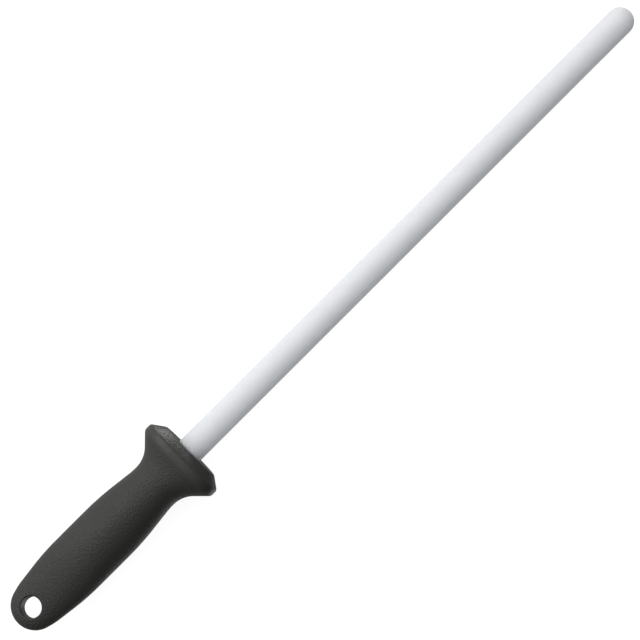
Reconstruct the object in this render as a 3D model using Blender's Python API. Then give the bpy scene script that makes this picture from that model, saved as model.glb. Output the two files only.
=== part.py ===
"""Ceramic honing rod: a plain white ceramic rod bonded into a moulded handle with a flared guard.

The steel lies on its side. +X runs along the rod to its tip, Y is the handle's wide way, +Z is up.
The origin is below the middle of the whole steel, on the surface that the guard rests on.
Shapes are drawn in the handle's own frame: X = 0 is the guard's flat front face, and the handle
lies at negative X. Lengths are in metres.
"""

import math

import bmesh
import bpy
from mathutils import Matrix, Vector

MM = 0.001

# Driving dimensions
ROD_RADIUS = 7.0 * MM
ROD_EXPOSED = 305.0 * MM
ROD_EMBEDDED = 62.0 * MM
ROD_END_CHAMFER = 0.8 * MM
KEY_GROOVES = (22.0 * MM, 45.0 * MM)  # middles of the rod's two bonding grooves, behind the face
KEY_WIDTH = 3.0 * MM
KEY_DEPTH = 0.5 * MM

HANDLE_LENGTH = 119.5 * MM
FACE_HALF_WIDTH = 16.8 * MM
FACE_HALF_DEPTH = 9.8 * MM
RIM_HALF_WIDTH = 23.05 * MM
RIM_HALF_DEPTH = 14.57 * MM
RIM_FRONT = 4.55 * MM  # the guard's rim lies between these two distances behind its face
RIM_BACK = 8.35 * MM
NECK_HALF_WIDTH = 12.95 * MM
NECK_HALF_DEPTH = 12.1 * MM
GRIP_HALF_WIDTH = 15.6 * MM
GRIP_HALF_DEPTH = 12.9 * MM
BUTT_HALF_DEPTH = 4.6 * MM  # where the grip's taper would meet the butt's end without its round
TAPER_START = 70.0 * MM

HOLE_RADIUS = 5.4 * MM
HOLE_FROM_BUTT = 10.9 * MM
HOLE_EDGE_ROUND = 0.9 * MM

SEAT_GAP = 0.3 * MM  # between pieces that touch
BOND_THICKNESS = 0.6 * MM
LIP_LENGTH = 4.0 * MM  # the grip's lip, which closes round the rod in front of the core

CORE_RADIUS = 10.0 * MM
CORE_FLOOR = 4.0 * MM
COLLAR_RADIUS = 11.5 * MM
COLLAR_LENGTH = 5.0 * MM
RING_RADIUS = 10.7 * MM
RING_WIDTH = 2.4 * MM
RINGS = (20.0 * MM, 28.0 * MM)  # middles of the core's locking rings, behind the face
CORE_END_CHAMFER = 2.0 * MM
FIN_HALF_THICKNESS = 2.0 * MM
FIN_CORNERS = (  # half outline of the core's flat tongue: (distance behind the face, half width)
    (33 * MM, 9.0 * MM),
    (46 * MM, 12.2 * MM),
    (76 * MM, 12.2 * MM),
    (92 * MM, 8.5 * MM),
    (97 * MM, 5.0 * MM),
)
LOCK_HOLE_RADIUS = 3.0 * MM
LOCK_HOLES = (79.0 * MM, 89.0 * MM)
CUSHION_THICKNESS = 3.0 * MM
CUSHION_CHAMFER = 0.5 * MM

# Mesh fineness
AROUND_HANDLE = 44
AROUND_ROUND = 40
ARC_STEP = math.radians(11)
DOME_STEPS = 9
HOLE_EDGE_STEPS = 4
SHARP_FROM = math.radians(35)
GRIP_STATIONS = tuple((30 + 6.5 * i) * MM for i in range(11))
STATION_SPACING = 0.7 * MM  # the least between two cross-sections
BUTT_SPACING = 0.2 * MM  # the same over the last few millimetres, where the butt rounds off
BUTT_ROUND = 3.0 * MM
SAME_POINT = 0.01 * MM
OVERRUN = 2.0 * MM  # how far a cutter reaches past what it cuts

# Worked out from the above
STEEL_LENGTH = HANDLE_LENGTH + ROD_EXPOSED
FACE_X = STEEL_LENGTH / 2 - ROD_EXPOSED
BOND_INNER = ROD_RADIUS + SEAT_GAP
BOND_OUTER = BOND_INNER + BOND_THICKNESS
SOCKET_RADIUS = BOND_OUTER + SEAT_GAP
CORE_FRONT = LIP_LENGTH + SEAT_GAP
CUSHION_FRONT = ROD_EMBEDDED + SEAT_GAP
SOCKET_FLOOR = CUSHION_FRONT + CUSHION_THICKNESS + SEAT_GAP
CORE_END = SOCKET_FLOOR + CORE_FLOOR
HOLE_X = HANDLE_LENGTH - HOLE_FROM_BUTT

# Half outlines of the handle, seen from above and from the side: (distance behind the face,
# distance from the axis, fillet radius) of each corner. Straight runs and arcs join them.
PLAN_CORNERS = (
    (0.0, FACE_HALF_WIDTH, 0.0),
    (RIM_FRONT, RIM_HALF_WIDTH, 1.6 * MM),
    (RIM_BACK, RIM_HALF_WIDTH, 2.5 * MM),
    (18.5 * MM, NECK_HALF_WIDTH, 14.0 * MM),
    (27.0 * MM, NECK_HALF_WIDTH, 40.0 * MM),
    (48.5 * MM, GRIP_HALF_WIDTH, 146.0 * MM),
    (86.4 * MM, GRIP_HALF_WIDTH, 120.0 * MM),
    (106.0 * MM, 13.1 * MM, 30.0 * MM),
    (HANDLE_LENGTH, 9.5 * MM, 12.3 * MM),
    (HANDLE_LENGTH, 0.0, 0.0),
)
SIDE_CORNERS = (
    (0.0, FACE_HALF_DEPTH, 0.0),
    (RIM_FRONT, RIM_HALF_DEPTH, 2.6 * MM),
    (RIM_BACK, RIM_HALF_DEPTH, 8.0 * MM),
    (13.5 * MM, 12.55 * MM, 22.0 * MM),
    (27.0 * MM, NECK_HALF_DEPTH, 60.0 * MM),
    (46.0 * MM, GRIP_HALF_DEPTH, 200.0 * MM),
    (TAPER_START, GRIP_HALF_DEPTH, 120.0 * MM),
    (HANDLE_LENGTH, BUTT_HALF_DEPTH, 5.4 * MM),
    (HANDLE_LENGTH, 0.0, 0.0),
)
BUTT_SLOPE = math.atan2(GRIP_HALF_DEPTH - BUTT_HALF_DEPTH, HANDLE_LENGTH - TAPER_START)

# How square the handle's cross-section is at each place: (distance behind the face, exponent
# across the width, exponent across the depth). 2 is an ellipse, more is squarer, less is crested.
SQUARENESS = (
    (0.0, 2.5, 2.4),
    (10.0 * MM, 2.5, 2.4),
    (26.0 * MM, 2.1, 2.1),
    (52.0 * MM, 1.85, 2.05),
    (88.0 * MM, 2.1, 2.1),
    (110.0 * MM, 2.6, 2.1),
    (HANDLE_LENGTH, 2.4, 2.1),
)


def rounded_outline(corners):
    """Points along straight runs joined by tangent arcs, from the first corner to the last."""
    points = [Vector(corners[0][:2])]
    for before, corner, after in zip(corners, corners[1:], corners[2:]):
        middle = Vector(corner[:2])
        to_before = (Vector(before[:2]) - middle).normalized()
        to_after = (Vector(after[:2]) - middle).normalized()
        half_angle = to_before.angle(to_after) / 2
        reach = corner[2] / math.tan(half_angle)
        centre = middle + (to_before + to_after).normalized() * corner[2] / math.sin(half_angle)
        start = middle + to_before * reach - centre
        turn = start.angle_signed(middle + to_after * reach - centre)
        steps = max(2, math.ceil(abs(turn) / ARC_STEP))
        for i in range(steps + 1):
            spoke = start.copy()
            spoke.rotate(Matrix.Rotation(-turn * i / steps, 2))
            points.append(centre + spoke)
    last = Vector(corners[-1][:2])
    if (points[-1] - last).length > SAME_POINT:
        points.append(last)
    return points


def reach_at(outline, place):
    """Distance of an outline from the axis, at a place along it."""
    for start, end in zip(outline, outline[1:]):
        if start.x <= place <= end.x and end.x > start.x:
            return start.y + (end.y - start.y) * (place - start.x) / (end.x - start.x)
    return 0.0


def eased_at(rows, column, place):
    """Reading of one column of rows, easing in and out of each row's value."""
    for low, high in zip(rows, rows[1:]):
        if low[0] <= place <= high[0]:
            t = (place - low[0]) / (high[0] - low[0])
            return low[column] + (high[column] - low[column]) * t * t * (3 - 2 * t)
    return rows[-1][column]


def handle_stations(plan, side):
    """Distances behind the face at which the handle's cross-sections are drawn."""
    rim = max(side, key=lambda point: point.y).x
    stations = []
    for place in sorted([point.x for point in plan + side] + list(GRIP_STATIONS)):
        to_butt = HANDLE_LENGTH - place
        closest = STATION_SPACING if to_butt > BUTT_ROUND else BUTT_SPACING
        if to_butt < closest:
            break
        if not stations or place - stations[-1] > closest:
            stations.append(place)
        elif place == rim:
            stations[-1] = rim
    return stations


def cross_section(distance, plan, side):
    """One ring of points round the handle at a distance behind the face."""
    half_width = reach_at(plan, distance)
    half_depth = reach_at(side, distance)
    across = 2 / eased_at(SQUARENESS, 1, distance)
    deep = 2 / eased_at(SQUARENESS, 2, distance)
    ring = []
    for i in range(AROUND_HANDLE):
        angle = 2 * math.pi * i / AROUND_HANDLE
        c, s = math.cos(angle), math.sin(angle)
        y = math.copysign(half_width * abs(c) ** across, c)
        z = math.copysign(half_depth * abs(s) ** deep, s)
        ring.append((-distance, y, z))
    return ring


def new_object(name, bm, material=None):
    """A named object from a bmesh. One without a material is a helper, which isn't rendered."""
    bmesh.ops.recalc_face_normals(bm, faces=bm.faces)
    mesh = bpy.data.meshes.new(name)
    bm.to_mesh(mesh)
    bm.free()
    mesh.shade_smooth()
    mesh.set_sharp_from_angle(angle=SHARP_FROM)
    obj = bpy.data.objects.new(name, mesh)
    bpy.context.scene.collection.objects.link(obj)
    if material:
        mesh.materials.append(material)
    else:
        obj.hide_render = True
        obj.display_type = "WIRE"
    return obj


def plain_material(name, colour, roughness):
    material = bpy.data.materials.new(name)
    material.use_nodes = True
    shader = material.node_tree.nodes["Principled BSDF"]
    shader.inputs["Base Color"].default_value = (*colour, 1)
    shader.inputs["Roughness"].default_value = roughness
    shader.inputs["Metallic"].default_value = 0
    material.diffuse_color = (*colour, 1)
    return material


def turned(profile, closed=False):
    """A bmesh turned about X from a profile of (X, radius) points."""
    bm = bmesh.new()
    points = [bm.verts.new((x, radius, 0)) for x, radius in profile]
    for a, b in zip(points, points[1:] + points[:1] if closed else points[1:]):
        bm.edges.new((a, b))
    bmesh.ops.spin(
        bm,
        geom=bm.verts[:] + bm.edges[:],
        cent=(0, 0, 0),
        axis=(1, 0, 0),
        angle=2 * math.pi,
        steps=AROUND_ROUND,
        use_merge=True,
    )
    bmesh.ops.remove_doubles(bm, verts=bm.verts, dist=SAME_POINT)
    return bm


def boolean(obj, other, operation):
    modifier = obj.modifiers.new(other.name, "BOOLEAN")
    modifier.object = other
    modifier.operation = operation
    modifier.solver = "EXACT"


def rod_object(material):
    """Dome at the tip, plain shank, two bonding grooves and a chamfer on the end in the socket."""
    dome_centre = ROD_EXPOSED - ROD_RADIUS
    profile = []
    for i in range(DOME_STEPS + 1):
        angle = math.pi / 2 * i / DOME_STEPS
        x = dome_centre + ROD_RADIUS * math.cos(angle)
        profile.append((x, ROD_RADIUS * math.sin(angle)))
    for middle in KEY_GROOVES:
        front = -middle + KEY_WIDTH / 2
        back = -middle - KEY_WIDTH / 2
        profile.append((front, ROD_RADIUS))
        profile.append((front, ROD_RADIUS - KEY_DEPTH))
        profile.append((back, ROD_RADIUS - KEY_DEPTH))
        profile.append((back, ROD_RADIUS))
    profile.append((-ROD_EMBEDDED + ROD_END_CHAMFER, ROD_RADIUS))
    profile.append((-ROD_EMBEDDED, ROD_RADIUS - ROD_END_CHAMFER))
    profile.append((-ROD_EMBEDDED, 0))
    return new_object("ceramic_rod", turned(profile), material)


def bond_object(material):
    """Adhesive sleeve, with a ridge in each of the rod's grooves."""
    ridge_radius = ROD_RADIUS - KEY_DEPTH + SEAT_GAP
    front = -CORE_FRONT
    profile = [(front, BOND_OUTER), (front, BOND_INNER)]
    for middle in KEY_GROOVES:
        for side in (1, -1):
            edge = -middle + side * (KEY_WIDTH / 2 - SEAT_GAP)
            step = (BOND_INNER, ridge_radius)
            for radius in step[::side]:
                profile.append((edge, radius))
    back = -ROD_EMBEDDED + ROD_END_CHAMFER
    profile.append((back, BOND_INNER))
    profile.append((back, BOND_OUTER))
    return new_object("rod_bond", turned(profile, closed=True), material)


def cushion_object(material):
    """Round pad between the rod's end and the socket's floor."""
    front = -CUSHION_FRONT
    back = front - CUSHION_THICKNESS
    profile = [
        (front, 0),
        (front, BOND_OUTER - CUSHION_CHAMFER),
        (front - CUSHION_CHAMFER, BOND_OUTER),
        (back + CUSHION_CHAMFER, BOND_OUTER),
        (back, BOND_OUTER - CUSHION_CHAMFER),
        (back, 0),
    ]
    return new_object("end_cushion", turned(profile), material)


def core_shaft(grow):
    """The core's round part, without its bore: collar, locking rings and closed end."""
    front = -CORE_FRONT + grow
    collar_back = -CORE_FRONT - COLLAR_LENGTH - grow
    radius = CORE_RADIUS + grow
    profile = [
        (front, 0),
        (front, COLLAR_RADIUS + grow),
        (collar_back, COLLAR_RADIUS + grow),
        (collar_back, radius),
    ]
    for middle in RINGS:
        ring_front = -middle + RING_WIDTH / 2 + grow
        ring_back = -middle - RING_WIDTH / 2 - grow
        profile.append((ring_front, radius))
        profile.append((ring_front, RING_RADIUS + grow))
        profile.append((ring_back, RING_RADIUS + grow))
        profile.append((ring_back, radius))
    end = -CORE_END - grow
    profile.append((end + CORE_END_CHAMFER, radius))
    profile.append((end, radius - CORE_END_CHAMFER))
    profile.append((end, 0))
    return turned(profile)


def core_fins(grow):
    """Flat tongue through the core: a fin on each side of the shaft and a tail behind it."""
    outline = list(FIN_CORNERS) + [(place, -y) for place, y in reversed(FIN_CORNERS)]
    bm = bmesh.new()
    verts = [bm.verts.new((-place, y, -FIN_HALF_THICKNESS)) for place, y in outline]
    face = bm.faces.new(verts)
    sides = bmesh.ops.extrude_face_region(bm, geom=[face])["geom"]
    lifted = [v for v in sides if isinstance(v, bmesh.types.BMVert)]
    bmesh.ops.translate(bm, verts=lifted, vec=(0, 0, 2 * FIN_HALF_THICKNESS))
    bmesh.ops.recalc_face_normals(bm, faces=bm.faces)
    bm.normal_update()
    shifts = [v.normal * v.calc_shell_factor() * grow for v in bm.verts]
    for vert, shift in zip(bm.verts, shifts):
        vert.co += shift
    return bm


def upright_cylinder(radius, half_height, x):
    """A bmesh cylinder along Z, centred on the handle's mid-plane."""
    bm = bmesh.new()
    bmesh.ops.create_cone(
        bm,
        cap_ends=True,
        segments=AROUND_ROUND,
        radius1=radius,
        radius2=radius,
        depth=2 * half_height,
        matrix=Matrix.Translation((x, 0, 0)),
    )
    return bm


def core_object(name, grow, material=None):
    """The core, or with grow set, the space that the grip leaves for it."""
    core = new_object(name, core_shaft(grow), material)
    fins = new_object(name + "_fins", core_fins(grow))
    boolean(core, fins, "UNION")
    for i, distance in enumerate(LOCK_HOLES):
        hole = new_object(
            f"{name}_lock_hole_{i + 1}",
            upright_cylinder(LOCK_HOLE_RADIUS - grow, 2 * FIN_HALF_THICKNESS, -distance),
        )
        boolean(core, hole, "DIFFERENCE")
    return core


def hole_edge_cutter(side, surface):
    """Flares one end of the hanging hole with a round, square to the butt's slope."""
    profile = [(-HOLE_EDGE_ROUND - 2 * OVERRUN, 0)]
    for i in range(HOLE_EDGE_STEPS + 1):
        angle = math.pi / 2 * i / HOLE_EDGE_STEPS
        x = -HOLE_EDGE_ROUND * (1 - math.sin(angle))
        profile.append((x, HOLE_RADIUS + HOLE_EDGE_ROUND * (1 - math.cos(angle))))
    profile.append((OVERRUN, HOLE_RADIUS + HOLE_EDGE_ROUND))
    profile.append((OVERRUN, 0))
    cutter = new_object(f"hole_edge_{'top' if side > 0 else 'bottom'}", turned(profile))
    cutter.location = (-HOLE_X, 0, side * surface)
    cutter.rotation_euler = (0, -side * (math.pi / 2 + BUTT_SLOPE), 0)
    return cutter


def grip_skin(plan, side):
    """The handle's outer surface, closed at the flat face and at the butt."""
    bm = bmesh.new()
    rings = []
    for distance in handle_stations(plan, side):
        rings.append([bm.verts.new(point) for point in cross_section(distance, plan, side)])
    bm.faces.new(rings[0])
    for front, back in zip(rings, rings[1:]):
        for i in range(AROUND_HANDLE):
            j = (i + 1) % AROUND_HANDLE
            bm.faces.new((front[i], front[j], back[j], back[i]))
    pole = bm.verts.new((-HANDLE_LENGTH, 0, 0))
    for i in range(AROUND_HANDLE):
        bm.faces.new((rings[-1][i], rings[-1][(i + 1) % AROUND_HANDLE], pole))
    return bm


def grip_object(material, plan, side):
    """The outer moulding: guard, neck, grip and flattened butt, with the core's space inside it."""
    grip = new_object("handle_grip", grip_skin(plan, side), material)
    surface = reach_at(side, HOLE_X)
    hole_cutter = upright_cylinder(HOLE_RADIUS, GRIP_HALF_DEPTH + OVERRUN, -HOLE_X)
    hole = new_object("hanging_hole", hole_cutter)
    lip_end = -LIP_LENGTH - OVERRUN
    profile = [(OVERRUN, 0), (OVERRUN, BOND_INNER), (lip_end, BOND_INNER), (lip_end, 0)]
    lip_bore = new_object("lip_bore", turned(profile))
    core_space = core_object("core_space", SEAT_GAP)
    cutters = (
        hole,
        hole_edge_cutter(1, surface),
        hole_edge_cutter(-1, surface),
        core_space,
        lip_bore,
    )
    for cutter in cutters:
        boolean(grip, cutter, "DIFFERENCE")
    return grip


def socketed_core(material):
    """The core with the bore that the rod, its bond and its cushion sit in."""
    core = core_object("handle_core", 0, material)
    profile = [
        (OVERRUN, 0),
        (OVERRUN, SOCKET_RADIUS),
        (-SOCKET_FLOOR, SOCKET_RADIUS),
        (-SOCKET_FLOOR, 0),
    ]
    boolean(core, new_object("socket_bore", turned(profile)), "DIFFERENCE")
    return core


def build():
    for obj in list(bpy.data.objects):
        bpy.data.objects.remove(obj, do_unlink=True)

    plan = rounded_outline(PLAN_CORNERS)
    side = rounded_outline(SIDE_CORNERS)
    rod_object(plain_material("white_ceramic", (0.84, 0.85, 0.87), 0.5))
    grip_object(plain_material("black_grip_plastic", (0.045, 0.045, 0.043), 0.45), plan, side)
    socketed_core(plain_material("grey_core_plastic", (0.22, 0.23, 0.24), 0.5))
    bond_object(plain_material("amber_adhesive", (0.62, 0.45, 0.2), 0.3))
    cushion_object(plain_material("black_elastomer", (0.03, 0.03, 0.03), 0.8))

    frame = bpy.data.objects.new("handle_frame", None)
    bpy.context.scene.collection.objects.link(frame)
    guard_half_depth = max(point.y for point in side)
    frame.location = (FACE_X, 0, guard_half_depth)
    for obj in bpy.data.objects:
        if obj is not frame:
            obj.parent = frame


build()
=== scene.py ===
"""Looks of the ceramic honing rod: fine skins for the rod and the handle, their materials and a studio.

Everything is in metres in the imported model's frame: +X along the rod to its tip, +Y across the
handle's wide way, +Z up. The handle's shapes are drawn as distances behind the guard's flat face.
"""

import math

import bmesh
import bpy
from mathutils import Matrix, Vector


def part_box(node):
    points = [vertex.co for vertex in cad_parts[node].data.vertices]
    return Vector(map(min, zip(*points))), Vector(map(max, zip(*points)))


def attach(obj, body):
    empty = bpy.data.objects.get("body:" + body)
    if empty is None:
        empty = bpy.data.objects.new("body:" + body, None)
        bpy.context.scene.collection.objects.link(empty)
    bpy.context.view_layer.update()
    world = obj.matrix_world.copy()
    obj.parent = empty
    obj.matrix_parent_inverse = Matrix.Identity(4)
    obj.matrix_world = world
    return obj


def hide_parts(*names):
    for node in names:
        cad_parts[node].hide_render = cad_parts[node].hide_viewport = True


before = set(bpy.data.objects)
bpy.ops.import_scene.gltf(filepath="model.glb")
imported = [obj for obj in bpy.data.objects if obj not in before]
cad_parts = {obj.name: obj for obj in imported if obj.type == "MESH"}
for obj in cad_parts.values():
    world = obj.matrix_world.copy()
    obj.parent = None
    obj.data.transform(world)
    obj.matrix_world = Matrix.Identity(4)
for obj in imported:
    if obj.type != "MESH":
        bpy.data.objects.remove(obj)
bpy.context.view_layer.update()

MM = 0.001

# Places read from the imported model
rod_low, rod_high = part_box("ceramic_rod")
grip_low, grip_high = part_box("handle_grip")
core_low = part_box("handle_core")[0]
ROD_RADIUS = (rod_high.y - rod_low.y) / 2
TIP_X = rod_high.x
ROD_END_X = rod_low.x
FACE_X = grip_high.x
HANDLE_LENGTH = grip_high.x - grip_low.x
AXIS_Z = (grip_low.z + grip_high.z) / 2
FACE_CENTRE = (FACE_X, 0, AXIS_Z)

# The handle's half outlines, as the CAD draws them: (distance behind the face, distance from the
# axis, fillet radius) of each corner, seen from above and from the side
RIM_FRONT, RIM_BACK = 4.55 * MM, 8.35 * MM
PLAN_CORNERS = (
    (0.0, 16.8 * MM, 0.0),
    (RIM_FRONT, 23.05 * MM, 1.6 * MM),
    (RIM_BACK, 23.05 * MM, 2.5 * MM),
    (18.5 * MM, 12.95 * MM, 14.0 * MM),
    (27.0 * MM, 12.95 * MM, 40.0 * MM),
    (48.5 * MM, 15.6 * MM, 146.0 * MM),
    (86.4 * MM, 15.6 * MM, 120.0 * MM),
    (106.0 * MM, 13.1 * MM, 30.0 * MM),
    (HANDLE_LENGTH, 9.5 * MM, 12.3 * MM),
    (HANDLE_LENGTH, 0.0, 0.0),
)
SIDE_CORNERS = (
    (0.0, 9.8 * MM, 0.0),
    (RIM_FRONT, 14.57 * MM, 2.6 * MM),
    (RIM_BACK, 14.57 * MM, 8.0 * MM),
    (13.5 * MM, 12.55 * MM, 22.0 * MM),
    (27.0 * MM, 12.1 * MM, 60.0 * MM),
    (46.0 * MM, 12.9 * MM, 200.0 * MM),
    (70.0 * MM, 12.9 * MM, 120.0 * MM),
    (HANDLE_LENGTH, 4.6 * MM, 5.4 * MM),
    (HANDLE_LENGTH, 0.0, 0.0),
)
# (distance behind the face, exponent across, exponent deep) of the sections: 2 and 2 make an
# ellipse, and larger ones a squarer section
SQUARENESS = (
    (0.0, 2.5, 2.4),
    (10.0 * MM, 2.5, 2.4),
    (26.0 * MM, 2.1, 2.1),
    (52.0 * MM, 1.85, 2.05),
    (88.0 * MM, 2.1, 2.1),
    (110.0 * MM, 2.6, 2.1),
    (HANDLE_LENGTH, 2.4, 2.1),
)
HOLE_RADIUS = 5.4 * MM
HOLE_AT = HANDLE_LENGTH - 10.9 * MM
HOLE_ROUND = 0.9 * MM
SHOULDER = HOLE_AT - 14 * MM  # where the rings end and the net round the hanging hole begins

GAP = 0.3 * MM  # between any two pieces
LIP_RADIUS = ROD_RADIUS + GAP
LIP_LENGTH = 4.0 * MM
LIP_OVERRUN = 1.0 * MM  # how far the lip's bore runs on into the space for the core
LIP_ROUND = 0.35 * MM
FACE_ROUND = 0.6 * MM
EDGE_BACK, EDGE_IN = 1.2, 0.8  # reach of the face's rounded edge back and inward, in FACE_ROUND

# The rod's buried end and the core, as the CAD draws them; places are distances behind the face
KEY_GROOVES = (22.0 * MM, 45.0 * MM)
KEY_HALF_WIDTH, KEY_DEPTH = 1.5 * MM, 0.5 * MM
ROD_CHAMFER = 0.8 * MM
CORE_RADIUS, CORE_END, CORE_CHAMFER = 10.0 * MM, 69.9 * MM, 2.0 * MM
COLLAR_FRONT, COLLAR_BACK, COLLAR_RADIUS = 4.3 * MM, 9.3 * MM, 11.5 * MM
CORE_RINGS = (20.0 * MM, 28.0 * MM)
RING_HALF_WIDTH, RING_RADIUS = 1.2 * MM, 10.7 * MM
FIN_HALF_THICKNESS = 2.0 * MM
FIN_CORNERS = (
    (33.0 * MM, 9.0 * MM),
    (46.0 * MM, 12.2 * MM),
    (76.0 * MM, 12.2 * MM),
    (92.0 * MM, 8.5 * MM),
    (FACE_X - core_low.x, 5.0 * MM),
)
LOCK_HOLES = (79.0 * MM, 89.0 * MM)
LOCK_HOLE_RADIUS = 3.0 * MM
PIN_LENGTH = 8.0 * MM  # longer than the fins are thick

# How finely the shapes are divided
AROUND = 144  # points round the handle
ROD_AROUND, CORE_AROUND, PIN_AROUND = 96, 64, 48
ARC_STEP = math.radians(2.5)  # largest turn between two points of a fillet
FEWEST_ARC_STEPS = 6
DOME_STEPS, SHANK_STEPS = 22, 60
LIP_STEPS, EDGE_STEPS = 5, 6
FACE_SHARES = (0.12, 0.35, 0.6, 0.85, 1.0)  # places of the flat face's rings, lip to edge
GRIP_RINGS_FROM, GRIP_RING_STEP, GRIP_RINGS = 30 * MM, 1.5 * MM, 45
LEAST_RING_STEP, LAST_RING_STEP = 0.35 * MM, 0.3 * MM
BUTT_END_STEPS, HOLE_RIM_STEPS, BUTT_FIELD_STEPS = 72, 6, 22
CROWDING_POWER = 4  # how sharply the butt's lines crowd at the sides of the shoulder
SHARP_ANGLE = math.radians(40)
SAME_POINT = 0.01 * MM
ON_AXIS = 1e-9


# ---------------------------------------------------------------- shapes


def rounded_outline(corners):
    """Points along straight runs joined by tangent arcs, from the first corner to the last."""
    points = [Vector(corners[0][:2])]
    for before, corner, after in zip(corners, corners[1:], corners[2:]):
        middle, radius = Vector(corner[:2]), corner[2]
        to_before = (Vector(before[:2]) - middle).normalized()
        to_after = (Vector(after[:2]) - middle).normalized()
        half_angle = to_before.angle(to_after) / 2
        reach = radius / math.tan(half_angle)
        centre = middle + (to_before + to_after).normalized() * radius / math.sin(half_angle)
        start = middle + to_before * reach - centre
        turn = start.angle_signed(middle + to_after * reach - centre)
        steps = max(FEWEST_ARC_STEPS, math.ceil(abs(turn) / ARC_STEP))
        for i in range(steps + 1):
            spoke = start.copy()
            spoke.rotate(Matrix.Rotation(-turn * i / steps, 2))
            points.append(centre + spoke)
    last = Vector(corners[-1][:2])
    if (points[-1] - last).length > SAME_POINT:
        points.append(last)
    return points


def reach_at(outline, place):
    """Distance of an outline from the axis, at a place along it."""
    for start, end in zip(outline, outline[1:]):
        if start.x <= place <= end.x and end.x > start.x:
            return start.y + (end.y - start.y) * (place - start.x) / (end.x - start.x)
    return 0.0


def eased_at(rows, column, place):
    """Reading of one column of rows, easing in and out of each row's value."""
    for low, high in zip(rows, rows[1:]):
        if low[0] <= place <= high[0]:
            t = (place - low[0]) / (high[0] - low[0])
            return low[column] + (high[column] - low[column]) * t * t * (3 - 2 * t)
    return rows[-1][column]


PLAN = rounded_outline(PLAN_CORNERS)
SIDE = rounded_outline(SIDE_CORNERS)


def circle(distance, radius):
    """AROUND points round the axis at a distance behind the face, starting on the +Y side."""
    ring = []
    for i in range(AROUND):
        angle = 2 * math.pi * i / AROUND
        ring.append(Vector((-distance, radius * math.cos(angle), radius * math.sin(angle))))
    return ring


def ring_at(distance):
    """AROUND points round the handle's section at a distance, starting on the +Y side."""
    half_width = reach_at(PLAN, distance)
    half_depth = reach_at(SIDE, distance)
    across = 2 / eased_at(SQUARENESS, 1, distance)
    deep = 2 / eased_at(SQUARENESS, 2, distance)
    ring = []
    for i in range(AROUND):
        angle = 2 * math.pi * i / AROUND
        c, s = math.cos(angle), math.sin(angle)
        y = math.copysign(half_width * abs(c) ** across, c)
        z = math.copysign(half_depth * abs(s) ** deep, s)
        ring.append(Vector((-distance, y, z)))
    return ring


def height_at(distance, y):
    """Half depth of the handle at a place seen from above."""
    half_width = reach_at(PLAN, distance)
    if half_width <= abs(y):
        return 0.0
    across = eased_at(SQUARENESS, 1, distance)
    deep = eased_at(SQUARENESS, 2, distance)
    return reach_at(SIDE, distance) * (1 - (abs(y) / half_width) ** across) ** (1 / deep)


def object_from(name, bm, location):
    """An object of a bmesh, moved to its place in its mesh, smooth but for its sharp edges."""
    bmesh.ops.recalc_face_normals(bm, faces=bm.faces)
    mesh = bpy.data.meshes.new(name)
    bm.to_mesh(mesh)
    bm.free()
    mesh.shade_smooth()
    mesh.set_sharp_from_angle(angle=SHARP_ANGLE)
    obj = bpy.data.objects.new(name, mesh)
    bpy.context.scene.collection.objects.link(obj)
    mesh.transform(Matrix.Translation(location))
    return obj


def apply_boolean(obj, other, operation):
    """Cuts or joins other into obj for good, and removes other."""
    modifier = obj.modifiers.new("boolean", "BOOLEAN")
    modifier.object = other
    modifier.operation = operation
    modifier.solver = "EXACT"
    graph = bpy.context.evaluated_depsgraph_get()
    made = bpy.data.meshes.new_from_object(obj.evaluated_get(graph))
    obj.modifiers.clear()
    obj.data = made
    bpy.data.objects.remove(other, do_unlink=True)


def band(bm, ring, other):
    """Faces between two rings of equally many vertices."""
    count = len(ring)
    for i in range(count):
        j = (i + 1) % count
        bm.faces.new((ring[i], ring[j], other[j], other[i]))


def turned(profile, steps):
    """A bmesh turned about X from a profile of (X, radius) points; ends on the axis are closed."""
    bm = bmesh.new()
    angles = [2 * math.pi * i / steps for i in range(steps)]
    rings = []
    for x, radius in profile:
        if radius < ON_AXIS:
            rings.append([bm.verts.new((x, 0, 0))])
            continue
        rings.append(
            [bm.verts.new((x, radius * math.cos(a), radius * math.sin(a))) for a in angles]
        )
    for ring, other in zip(rings, rings[1:]):
        if len(ring) == 1 or len(other) == 1:
            pole, rim = (ring[0], other) if len(ring) == 1 else (other[0], ring)
            for i in range(steps):
                bm.faces.new((pole, rim[i], rim[(i + 1) % steps]))
        else:
            band(bm, ring, other)
    return bm


# The handle's skin


def grip_places():
    """Distances behind the face of the handle's rings, closer where the outline bends."""
    places = [p.x for p in PLAN + SIDE if p.x < SHOULDER]
    places += [GRIP_RINGS_FROM + GRIP_RING_STEP * i for i in range(GRIP_RINGS)]
    kept = []
    for place in sorted(places):
        if FACE_ROUND * EDGE_BACK < place < SHOULDER - LAST_RING_STEP:
            if not kept or place - kept[-1] > LEAST_RING_STEP:
                kept.append(place)
    return kept + [SHOULDER]


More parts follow.
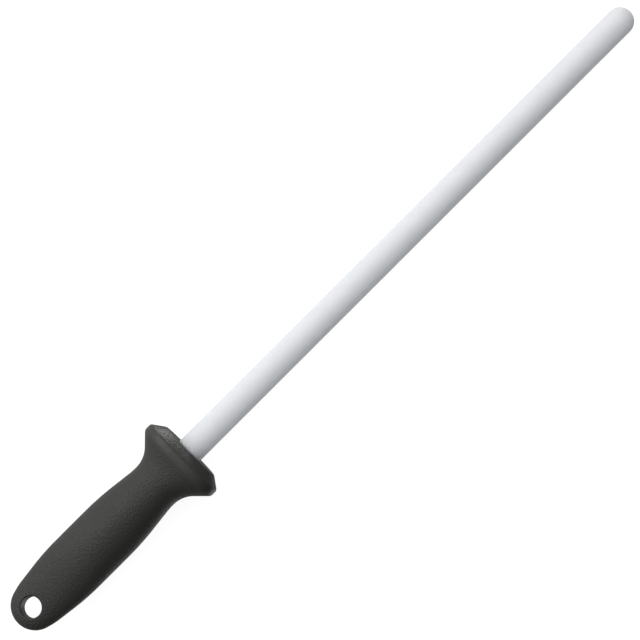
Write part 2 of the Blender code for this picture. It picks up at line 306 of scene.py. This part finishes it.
def face_rings():
    """Rings from the lip bore's end, round the lip, over the flat face and its rounded edge."""
    rings = [circle(LIP_LENGTH + LIP_OVERRUN, LIP_RADIUS), circle(LIP_LENGTH / 2, LIP_RADIUS)]
    for i in range(LIP_STEPS + 1):
        angle = math.pi / 2 * i / LIP_STEPS
        out = LIP_ROUND * (1 - math.cos(angle))
        back = LIP_ROUND * (1 - math.sin(angle))
        rings.append(circle(back, LIP_RADIUS + out))
    lip = rings[-1]
    corner = ring_at(0.0)
    edge_end = ring_at(FACE_ROUND * EDGE_BACK)
    flat_end = []
    for point in corner:
        inward = Vector((0, -point.y, -point.z)).normalized()
        flat_end.append(point + inward * FACE_ROUND * EDGE_IN)
    for t in FACE_SHARES:
        rings.append([a.lerp(b, t) for a, b in zip(lip, flat_end)])
    for i in range(1, EDGE_STEPS):
        t = i / EDGE_STEPS
        rings.append(
            [
                a * (1 - t) ** 2 + c * 2 * t * (1 - t) + b * t * t
                for a, c, b in zip(flat_end, corner, edge_end)
            ]
        )
    return rings


def butt_outline(shoulder_ring):
    """Outer ends of the butt's lines, seen from above: over the shoulder from +Y to -Y, then
    round the butt from -Y back to +Y."""
    route = [Vector((SHOULDER, reach_at(PLAN, SHOULDER)))] + [p for p in PLAN if p.x > SHOULDER]
    lengths = [0.0]
    for a, b in zip(route, route[1:]):
        lengths.append(lengths[-1] + (b - a).length)

    def on_route(share):
        wanted = share * lengths[-1]
        for a, b, low, high in zip(route, route[1:], lengths, lengths[1:]):
            if low <= wanted <= high and high > low:
                return a.lerp(b, (wanted - low) / (high - low))
        return route[-1]

    outer = [Vector((-v.co.x, v.co.y)) for v in shoulder_ring[: AROUND // 2 + 1]]
    for i in range(1, BUTT_END_STEPS):
        share = 2 * i / BUTT_END_STEPS
        point = on_route(share if share <= 1 else 2 - share)
        outer.append(Vector((point.x, -point.y if share <= 1 else point.y)))
    return outer


def butt_line(bm, end, side, crowding):
    """Vertices from the hanging hole's wall, over its rounded rim, towards an outer end."""
    centre = Vector((HOLE_AT, 0.0))
    way = (end - centre).normalized()
    rim_end = centre + way * (HOLE_RADIUS + HOLE_ROUND)
    line = []
    for i in range(HOLE_RIM_STEPS):
        angle = math.pi / 2 * i / HOLE_RIM_STEPS
        out = HOLE_RADIUS + HOLE_ROUND * (1 - math.cos(angle))
        drop = HOLE_ROUND * (1 - math.sin(angle))
        place = centre + way * out
        z = height_at(place.x, place.y) - drop
        line.append(bm.verts.new((-place.x, place.y, side * z)))
    # Steps shorten towards the outline, where the surface turns down
    for i in range(BUTT_FIELD_STEPS):
        t = i / BUTT_FIELD_STEPS
        share = t + crowding * (math.sin(t * math.pi / 2) - t)
        place = rim_end.lerp(end, share)
        line.append(bm.verts.new((-place.x, place.y, side * height_at(place.x, place.y))))
    return line


def butt_net(bm, shoulder_ring):
    """The flattened butt: a net of quads from the hanging hole's rounded rim to the outline."""
    half = AROUND // 2
    outer = butt_outline(shoulder_ring)
    count = len(outer)
    sheets = {}
    for side in (1, -1):
        sheets[side] = []
        for k, end in enumerate(outer):
            crowding = (2 * k / half - 1) ** CROWDING_POWER if k <= half else 1.0
            sheets[side].append(butt_line(bm, end, side, crowding))

    border = {}
    for k, end in enumerate(outer):
        if k <= half:
            border[(1, k)] = shoulder_ring[k]
            border[(-1, k)] = shoulder_ring[-k % AROUND]
        else:
            border[(1, k)] = border[(-1, k)] = bm.verts.new((-end.x, end.y, 0))
    for side, lines in sheets.items():
        for k in range(count):
            n = (k + 1) % count
            near, far = lines[k] + [border[(side, k)]], lines[n] + [border[(side, n)]]
            for i in range(len(near) - 1):
                bm.faces.new((near[i], near[i + 1], far[i + 1], far[i]))
    band(bm, [line[0] for line in sheets[1]], [line[0] for line in sheets[-1]])


def grip_skin():
    """The handle's outer surface: lip bore, face, guard, neck, grip and butt."""
    bm = bmesh.new()
    rings = [[bm.verts.new(p) for p in ring] for ring in face_rings()]
    rings += [[bm.verts.new(p) for p in ring_at(place)] for place in grip_places()]
    bm.faces.new(rings[0])
    for ring, other in zip(rings, rings[1:]):
        band(bm, ring, other)
    butt_net(bm, rings[-1])
    return bm


# The rod, and the space for the core


def rod_profile():
    """Profile of the rod from the tip's dome to the end in the socket."""
    profile = []
    length = TIP_X - FACE_X
    for i in range(DOME_STEPS + 1):
        angle = math.pi / 2 * i / DOME_STEPS
        profile.append(
            (length - ROD_RADIUS * (1 - math.cos(angle)), ROD_RADIUS * math.sin(angle))
        )
    start = profile[-1][0]
    for i in range(1, SHANK_STEPS + 1):
        profile.append((start - start * i / SHANK_STEPS, ROD_RADIUS))
    for middle in KEY_GROOVES:
        front, back = -middle + KEY_HALF_WIDTH, -middle - KEY_HALF_WIDTH
        floor = ROD_RADIUS - KEY_DEPTH
        profile += [(front, ROD_RADIUS), (front, floor), (back, floor), (back, ROD_RADIUS)]
    end = ROD_END_X - FACE_X
    profile += [(end + ROD_CHAMFER, ROD_RADIUS), (end, ROD_RADIUS - ROD_CHAMFER), (end, 0.0)]
    return profile


def core_profile():
    """Profile of the core's collar, shaft and rings, larger than the core by the gap."""
    radius = CORE_RADIUS + GAP
    collar = COLLAR_RADIUS + GAP
    front, back = -COLLAR_FRONT + GAP, -COLLAR_BACK - GAP
    profile = [(front, 0.0), (front, collar), (back, collar), (back, radius)]
    for middle in CORE_RINGS:
        front, back = -middle + RING_HALF_WIDTH + GAP, -middle - RING_HALF_WIDTH - GAP
        top = RING_RADIUS + GAP
        profile += [(front, radius), (front, top), (back, top), (back, radius)]
    end = -CORE_END - GAP
    profile += [(end + CORE_CHAMFER, radius), (end, radius - CORE_CHAMFER), (end, 0.0)]
    return profile


def fin_space():
    """The core's fins and tail as one plate, larger than they are by the gap."""
    half = [(-distance, reach) for distance, reach in FIN_CORNERS]
    outline = half + [(x, -y) for x, y in reversed(half)]
    bm = bmesh.new()
    face = bm.faces.new([bm.verts.new((x, y, -FIN_HALF_THICKNESS)) for x, y in outline])
    lifted = bmesh.ops.extrude_face_region(bm, geom=[face])["geom"]
    lifted = [v for v in lifted if isinstance(v, bmesh.types.BMVert)]
    bmesh.ops.translate(bm, verts=lifted, vec=(0, 0, 2 * FIN_HALF_THICKNESS))
    bmesh.ops.recalc_face_normals(bm, faces=bm.faces)
    bm.normal_update()
    shifts = [v.normal * v.calc_shell_factor() * GAP for v in bm.verts]
    for vert, shift in zip(bm.verts, shifts):
        vert.co += shift
    return object_from("core_space_fins", bm, FACE_CENTRE)


def core_space():
    """The space for the core inside the handle, larger than the core by the gap all round."""
    space = object_from("core_space", turned(core_profile(), CORE_AROUND), FACE_CENTRE)
    apply_boolean(space, fin_space(), "UNION")
    for distance in LOCK_HOLES:
        bm = bmesh.new()
        bmesh.ops.create_cone(
            bm,
            cap_ends=True,
            segments=PIN_AROUND,
            radius1=LOCK_HOLE_RADIUS - GAP,
            radius2=LOCK_HOLE_RADIUS - GAP,
            depth=PIN_LENGTH,
            matrix=Matrix.Translation((-distance, 0, 0)),
        )
        apply_boolean(space, object_from("core_space_pin", bm, FACE_CENTRE), "DIFFERENCE")
    return space


# ---------------------------------------------------------------- materials

# A noise spends most of its range between these two readings
NOISE_LOW, NOISE_HIGH = 0.3, 0.7


class Nodes:
    """Short calls that build the node tree of a material or a world."""

    def __init__(self, tree, shader):
        self.tree = tree
        self.shader = tree.nodes[shader]

    def fill(self, socket, value):
        """Links a socket to another node's output, or sets its value."""
        if isinstance(value, bpy.types.NodeSocket):
            self.tree.links.new(value, socket)
        else:
            socket.default_value = value

    def set(self, **sockets):
        """Fills the shader's own sockets; an underscore in a key stands for a space."""
        for key, value in sockets.items():
            self.fill(self.shader.inputs[key.replace("_", " ")], value)

    def add(self, kind, inputs=(), **settings):
        """A new node; inputs go by the sockets' names or numbers."""
        node = self.tree.nodes.new(kind)
        for key, value in settings.items():
            setattr(node, key, value)
        for key, value in dict(inputs).items():
            self.fill(node.inputs[key], value)
        return node

    def place(self):
        """Object coordinates, in metres."""
        return self.add("ShaderNodeTexCoord").outputs["Object"]

    def parts(self, vector):
        return self.add("ShaderNodeSeparateXYZ", {"Vector": vector}).outputs

    def noise(self, vector, scale, detail, roughness=0.5):
        """Noise with a scale in spots per metre."""
        node = self.add(
            "ShaderNodeTexNoise",
            {"Vector": vector, "Scale": scale, "Detail": detail, "Roughness": roughness},
        )
        return node.outputs["Fac"]

    def ramp(self, value, stops):
        """Colour of a value from stops of (position, colour)."""
        node = self.add("ShaderNodeValToRGB", {"Fac": value})
        elements = node.color_ramp.elements
        elements[0].position, elements[0].color = stops[0]
        elements[1].position, elements[1].color = stops[-1]
        for position, colour in stops[1:-1]:
            elements.new(position).color = colour
        return node.outputs["Color"]

    def shades(self, noise, dark, light):
        """Colour that follows a noise from dark to light."""
        return self.ramp(noise, [(NOISE_LOW, (*dark, 1)), (NOISE_HIGH, (*light, 1))])

    def ranged(self, value, low, high, from_low=0.0, from_high=1.0):
        """Value taken from one range to another, and held at the new range's ends."""
        inputs = {"Value": value, "From Min": from_low, "From Max": from_high}
        inputs.update({"To Min": low, "To Max": high})
        return self.add("ShaderNodeMapRange", inputs).outputs["Result"]

    def swing(self, noise, low, high):
        """Number that follows a noise from low to high."""
        return self.ranged(noise, low, high, NOISE_LOW, NOISE_HIGH)

    def mix(self, factor, a, b):
        """Mix of two colours."""
        factor_socket, a_socket, b_socket, result = 0, 6, 7, 2  # the colour ones of the Mix node
        inputs = {factor_socket: factor, a_socket: a, b_socket: b}
        return self.add("ShaderNodeMix", inputs, data_type="RGBA").outputs[result]

    def math(self, operation, a, b=0.0):
        return self.add("ShaderNodeMath", {0: a, 1: b}, operation=operation).outputs[0]

    def bump(self, height, distance, strength, normal=None):
        """Normal bumped by a height that is worth a distance in metres."""
        inputs = {"Height": height, "Distance": distance, "Strength": strength}
        if normal is not None:
            inputs["Normal"] = normal
        return self.add("ShaderNodeBump", inputs).outputs["Normal"]


def new_material(name):
    material = bpy.data.materials.new(name)
    material.use_nodes = True
    return material, Nodes(material.node_tree, "Principled BSDF")


def grey(value):
    return (value, value, value, 1.0)


def ceramic_material():
    """Fired and ground alumina: white with a faint cool tint, cloudy, fine in grain, ring ground."""
    material, n = new_material("honing_ceramic")
    place = n.place()
    cloud = n.noise(place, scale=45.0, detail=3.0)
    grain = n.noise(place, scale=3200.0, detail=2.0, roughness=0.6)
    rings = {"Vector": place, "Scale": (2600.0, 60.0, 60.0)}  # fine along the rod, long round it
    stretched = n.add("ShaderNodeMapping", rings).outputs["Vector"]
    grind = n.noise(stretched, scale=1.0, detail=2.0)
    fine = n.bump(grain, distance=0.15 * MM, strength=1.0)
    n.set(
        Base_Color=n.shades(cloud, dark=(0.812, 0.842, 0.960), light=(0.838, 0.868, 0.976)),
        Roughness=n.swing(grain, 0.42, 0.58),
        Normal=n.bump(grind, distance=0.1 * MM, strength=0.6, normal=fine),
        Specular_IOR_Level=0.45,
        Subsurface_Weight=1.0,
        Subsurface_Radius=(1.0, 1.0, 1.0),
        Subsurface_Scale=18 * MM,
    )
    return material


# Where the handle is lighter and smoother: on the guard's rim, between these shares of its outline;
# on its front, between these distances in RIM_FRONT, both wear and a painted highlight; in a ring,
# between these distances from the hole, wear
RIM_WEAR_AND_HIGHLIGHT_FROM, RIM_WEAR_AND_HIGHLIGHT_FULL = 0.86, 0.98
FRONT_WEAR_AND_HIGHLIGHT_FROM, FRONT_WEAR_AND_HIGHLIGHT_FULL, FRONT_WEAR_AND_HIGHLIGHT = 1.3, 0.8, 0.6
RING_RUB_FULL, RING_RUB_END, RING_RUB = 0.2 * MM, 1.2 * MM, 0.5
SCUFF_LOW, SCUFF_HIGH = 0.4, 0.6  # readings of the scuffs between which the wear and painted highlight come in
LEAST_SCUFFED = 0.6  # share of the wear and painted highlight that is left between the scuffs
# Lighter than the grip's own colour: wear, and on the guard's rim and front also a painted highlight
WORN_AND_HIGHLIT_COLOUR = (0.019, 0.0195, 0.016, 1)
RUBBED_SMOOTHER = 0.05  # what full rubbing takes off the roughness

# The pieces inside: how much finer their grain is than their clouds, and how far roughness varies
GRAIN_PER_CLOUD = 40
ROUGHNESS_SWING = 0.05


def wear_and_highlight_share(n, place, scuffs):
    """How far each spot is lightened and smoothed: wear with a painted highlight on the guard's rim
    and front, wear in the ring round the hanging hole, broken up by scuffs."""
    parts = n.parts(place)
    height = n.math("SUBTRACT", parts["Z"], AXIS_Z)
    across, deep = SQUARENESS[0][1:]
    wide = n.math("POWER", n.math("ABSOLUTE", n.math("DIVIDE", parts["Y"], grip_high.y)), across)
    tall = n.math("POWER", n.math("ABSOLUTE", n.math("DIVIDE", height, AXIS_Z)), deep)
    # Guard's rim and front: wear together with a painted highlight
    rim = n.ranged(n.math("ADD", wide, tall), 0.0, 1.0, RIM_WEAR_AND_HIGHLIGHT_FROM, RIM_WEAR_AND_HIGHLIGHT_FULL)
    front_from = FACE_X - FRONT_WEAR_AND_HIGHLIGHT_FROM * RIM_FRONT
    front_full = FACE_X - FRONT_WEAR_AND_HIGHLIGHT_FULL * RIM_FRONT
    front = n.ranged(parts["X"], 0.0, FRONT_WEAR_AND_HIGHLIGHT, front_from, front_full)
    guard = n.math("MAXIMUM", rim, front)
    along = n.math("SUBTRACT", parts["X"], FACE_X - HOLE_AT)
    along_squared = n.math("MULTIPLY", along, along)
    across_squared = n.math("MULTIPLY", parts["Y"], parts["Y"])
    from_hole = n.math("SQRT", n.math("ADD", along_squared, across_squared))
    ring_full, ring_end = HOLE_RADIUS + RING_RUB_FULL, HOLE_RADIUS + RING_RUB_END
    ring = n.ranged(from_hole, RING_RUB, 0.0, ring_full, ring_end)
    scuffed = n.ranged(scuffs, LEAST_SCUFFED, 1.0, SCUFF_LOW, SCUFF_HIGH)
    return n.math("MULTIPLY", n.math("MAXIMUM", guard, ring), scuffed)


def grip_material():
    """Black moulded polypropylene: a spark-eroded pebble grain, rubbed smoother where hands,
    blades and hooks touch it, and lighter there, with a painted highlight on the guard's rim and front."""
    material, n = new_material("moulded_black_grip")
    place = n.place()
    cloud = n.noise(place, scale=60.0, detail=4.0)
    scuffs = n.noise(place, scale=900.0, detail=3.0, roughness=0.6)
    grain = n.noise(place, scale=4200.0, detail=2.0, roughness=0.6)
    pebble = n.noise(place, scale=1300.0, detail=1.5)
    wear_and_highlight = wear_and_highlight_share(n, place, scuffs)
    base = n.shades(cloud, dark=(0.0118, 0.0122, 0.0082), light=(0.0138, 0.0142, 0.0102))
    rough = n.math("ADD", n.swing(cloud, 0.40, 0.46), n.swing(pebble, -0.05, 0.05))
    fine = n.bump(grain, distance=0.06 * MM, strength=1.0)
    n.set(
        # Lighter colour: painted highlight with wear on the guard's rim and front, wear at the hanging
        # hole
        Base_Color=n.mix(wear_and_highlight, base, WORN_AND_HIGHLIT_COLOUR),
        Roughness=n.math("SUBTRACT", rough, n.math("MULTIPLY", wear_and_highlight, RUBBED_SMOOTHER)),
        Normal=n.bump(pebble, distance=0.5 * MM, strength=n.ranged(wear_and_highlight, 1.0, 0.0), normal=fine),
        Specular_IOR_Level=0.645,
    )
    return material


def hidden_material(name, dark, light, roughness, scale):
    """A plain moulded or cured material with cloudy colour and a fine grain."""
    material, n = new_material(name)
    place = n.place()
    cloud = n.noise(place, scale, detail=3.0)
    grain = n.noise(place, scale * GRAIN_PER_CLOUD, detail=2.0)
    n.set(
        Base_Color=n.shades(cloud, dark, light),
        Roughness=n.swing(grain, roughness - ROUGHNESS_SWING, roughness + ROUGHNESS_SWING),
        Normal=n.bump(grain, distance=0.03 * MM, strength=0.4),
    )
    return material


def floor_material():
    """Pale studio sweep, faintly mottled, glowing enough that shadows on it stay light."""
    material, n = new_material("pale_sweep")
    place = n.place()
    cloud = n.noise(place, scale=3.0, detail=2.0)
    n.set(
        Base_Color=n.shades(cloud, dark=grey(0.27)[:3], light=grey(0.29)[:3]),
        Roughness=n.swing(n.noise(place, scale=400.0, detail=2.0), 0.85, 0.95),
        Specular_IOR_Level=0.1,
        Emission_Color=grey(1.0),
        Emission_Strength=FLOOR_GLOW,
    )
    return material


# ---------------------------------------------------------------- studio

CAMERA_DISTANCE = 1.30
FRAME_WIDTH = 0.3140  # what the frame spans at the rod's axis
SENSOR_WIDTH = 36.0
CAMERA_LEAN = math.radians(8.7)  # the camera sees the object from a little to its -Y side
AXIS_SLANT = math.radians(44.97)  # of the rod's axis across the frame
AIM_X = FACE_X + 90.42 * MM
AIM_Y = 0.35 * MM

FLOOR_GLOW = 0.91
FLOOR_Z = -0.2 * MM
FLOOR_HALF_WIDTH, FLOOR_CELLS = 4.0, 8

# Brightness of the tent by direction: (Y of the direction, level). A level of TENT_WHITE is as
# bright as TENT_STRENGTH.
TENT_LEVELS = ((-1.0, 0.12), (-0.5, 0.41), (0.0, 0.74), (0.25, 1.04), (0.6, 1.10), (1.0, 0.90))
TENT_WHITE = 1.5
TENT_STRENGTH = 1.81
TENT_BELOW = 0.28  # share of it that comes from straight below
TENT_AHEAD = 0.42  # share of it that comes from ahead of the tip
TENT_BEHIND = 0.50  # share of it that comes from behind the butt

# Area lights: direction and distance from the object, size in metres, power in watts. Those
# below the floor shine through it.
KEY = dict(way=(0.05, 0.60, 0.80), distance=1.5, size=0.6, power=3.2)
BOUNCE = dict(way=(0.0, -0.50, -0.87), distance=1.5, size=1.0, power=1.9)
# Gridded, so that it lights the guard and misses the tip
HEAD = dict(way=(0.80, 0.50, -0.33), distance=1.6, size=0.2, power=0.062, spread=16.0, aim_x=FACE_X)


def place_camera():
    data = bpy.data.cameras.new("camera")
    camera = bpy.data.objects.new("camera", data)
    bpy.context.scene.collection.objects.link(camera)
    aim = Vector((AIM_X, AIM_Y, AXIS_Z))
    back = Vector((0, -math.sin(CAMERA_LEAN), math.cos(CAMERA_LEAN)))
    along = Vector((1, 0, 0))
    across = back.cross(along)
    right = along * math.cos(AXIS_SLANT) - across * math.sin(AXIS_SLANT)
    up = along * math.sin(AXIS_SLANT) + across * math.cos(AXIS_SLANT)
    turn = Matrix((right, up, back)).transposed()
    camera.rotation_mode = "QUATERNION"
    camera.rotation_quaternion = turn.to_quaternion()
    camera.location = aim + back * CAMERA_DISTANCE
    data.sensor_width = SENSOR_WIDTH
    data.lens = SENSOR_WIDTH * CAMERA_DISTANCE / FRAME_WIDTH
    data.clip_start = 0.05
    data.clip_end = 20.0
    bpy.context.scene.camera = camera


def area_light(name, way, distance, size, power, spread=180.0, aim_x=0.0):
    """A square light that shines from a direction at a place on the object's axis."""
    data = bpy.data.lights.new(name, "AREA")
    data.shape = "RECTANGLE"
    data.size = data.size_y = size
    data.energy = power
    data.spread = math.radians(spread)
    light = bpy.data.objects.new(name, data)
    bpy.context.scene.collection.objects.link(light)
    way = Vector(way).normalized()
    light.location = Vector((aim_x, 0, AXIS_Z)) + way * distance
    light.rotation_mode = "QUATERNION"
    light.rotation_quaternion = way.to_track_quat("Z", "Y")


def tent():
    """White tent round the object: bright on its +Y side, dim on its -Y side, ahead of its tip,
    behind its butt and below."""
    world = bpy.data.worlds.new("studio")
    world.use_nodes = True
    n = Nodes(world.node_tree, "Background")
    parts = n.parts(n.add("ShaderNodeTexCoord").outputs["Generated"])
    side = n.ranged(parts["Y"], 0.0, 1.0, -1.0, 1.0)
    levels = [((y + 1) / 2, grey(level / TENT_WHITE)) for y, level in TENT_LEVELS]
    below = n.ranged(parts["Z"], TENT_STRENGTH * TENT_BELOW, TENT_STRENGTH, -1.0, 0.0)
    along = n.ranged(parts["X"], 0.0, 1.0, -1.0, 1.0)
    ends = n.ramp(along, [(0.0, grey(TENT_BEHIND)), (0.5, grey(1.0)), (1.0, grey(TENT_AHEAD))])
    n.set(Color=n.ramp(side, levels), Strength=n.math("MULTIPLY", below, ends))
    return world


def studio():
    scene = bpy.context.scene
    scene.view_settings.view_transform = "Standard"
    scene.world = tent()
    area_light("key", **KEY)
    area_light("head", **HEAD)
    area_light("bounce", **BOUNCE)

    bm = bmesh.new()
    bmesh.ops.create_grid(
        bm, x_segments=FLOOR_CELLS, y_segments=FLOOR_CELLS, size=FLOOR_HALF_WIDTH
    )
    floor = object_from("floor", bm, (0, 0, FLOOR_Z))
    floor.data.materials.append(floor_material())
    floor.visible_diffuse = False
    floor.visible_glossy = False
    floor.visible_shadow = False


# ---------------------------------------------------------------- the object

# Pieces inside the handle: node, dark and light colour, roughness, clouds per metre
HIDDEN_PIECES = (
    ("handle_core", (0.19, 0.20, 0.21), (0.24, 0.25, 0.26), 0.5, 80.0),
    ("rod_bond", (0.55, 0.38, 0.15), (0.66, 0.49, 0.24), 0.3, 120.0),
    ("end_cushion", (0.025, 0.025, 0.025), (0.035, 0.035, 0.035), 0.8, 150.0),
)


def main():
    place_camera()
    studio()

    rod = object_from("rod_skin", turned(rod_profile(), ROD_AROUND), FACE_CENTRE)
    rod.data.materials.append(ceramic_material())
    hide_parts("ceramic_rod")
    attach(rod, "root")

    grip = object_from("grip_skin", grip_skin(), FACE_CENTRE)
    apply_boolean(grip, core_space(), "DIFFERENCE")
    grip.data.materials.clear()
    grip.data.materials.append(grip_material())
    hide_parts("handle_grip")
    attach(grip, "root")

    for node, *look in HIDDEN_PIECES:
        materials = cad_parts[node].data.materials
        materials.clear()
        materials.append(hidden_material(node + "_look", *look))


main()
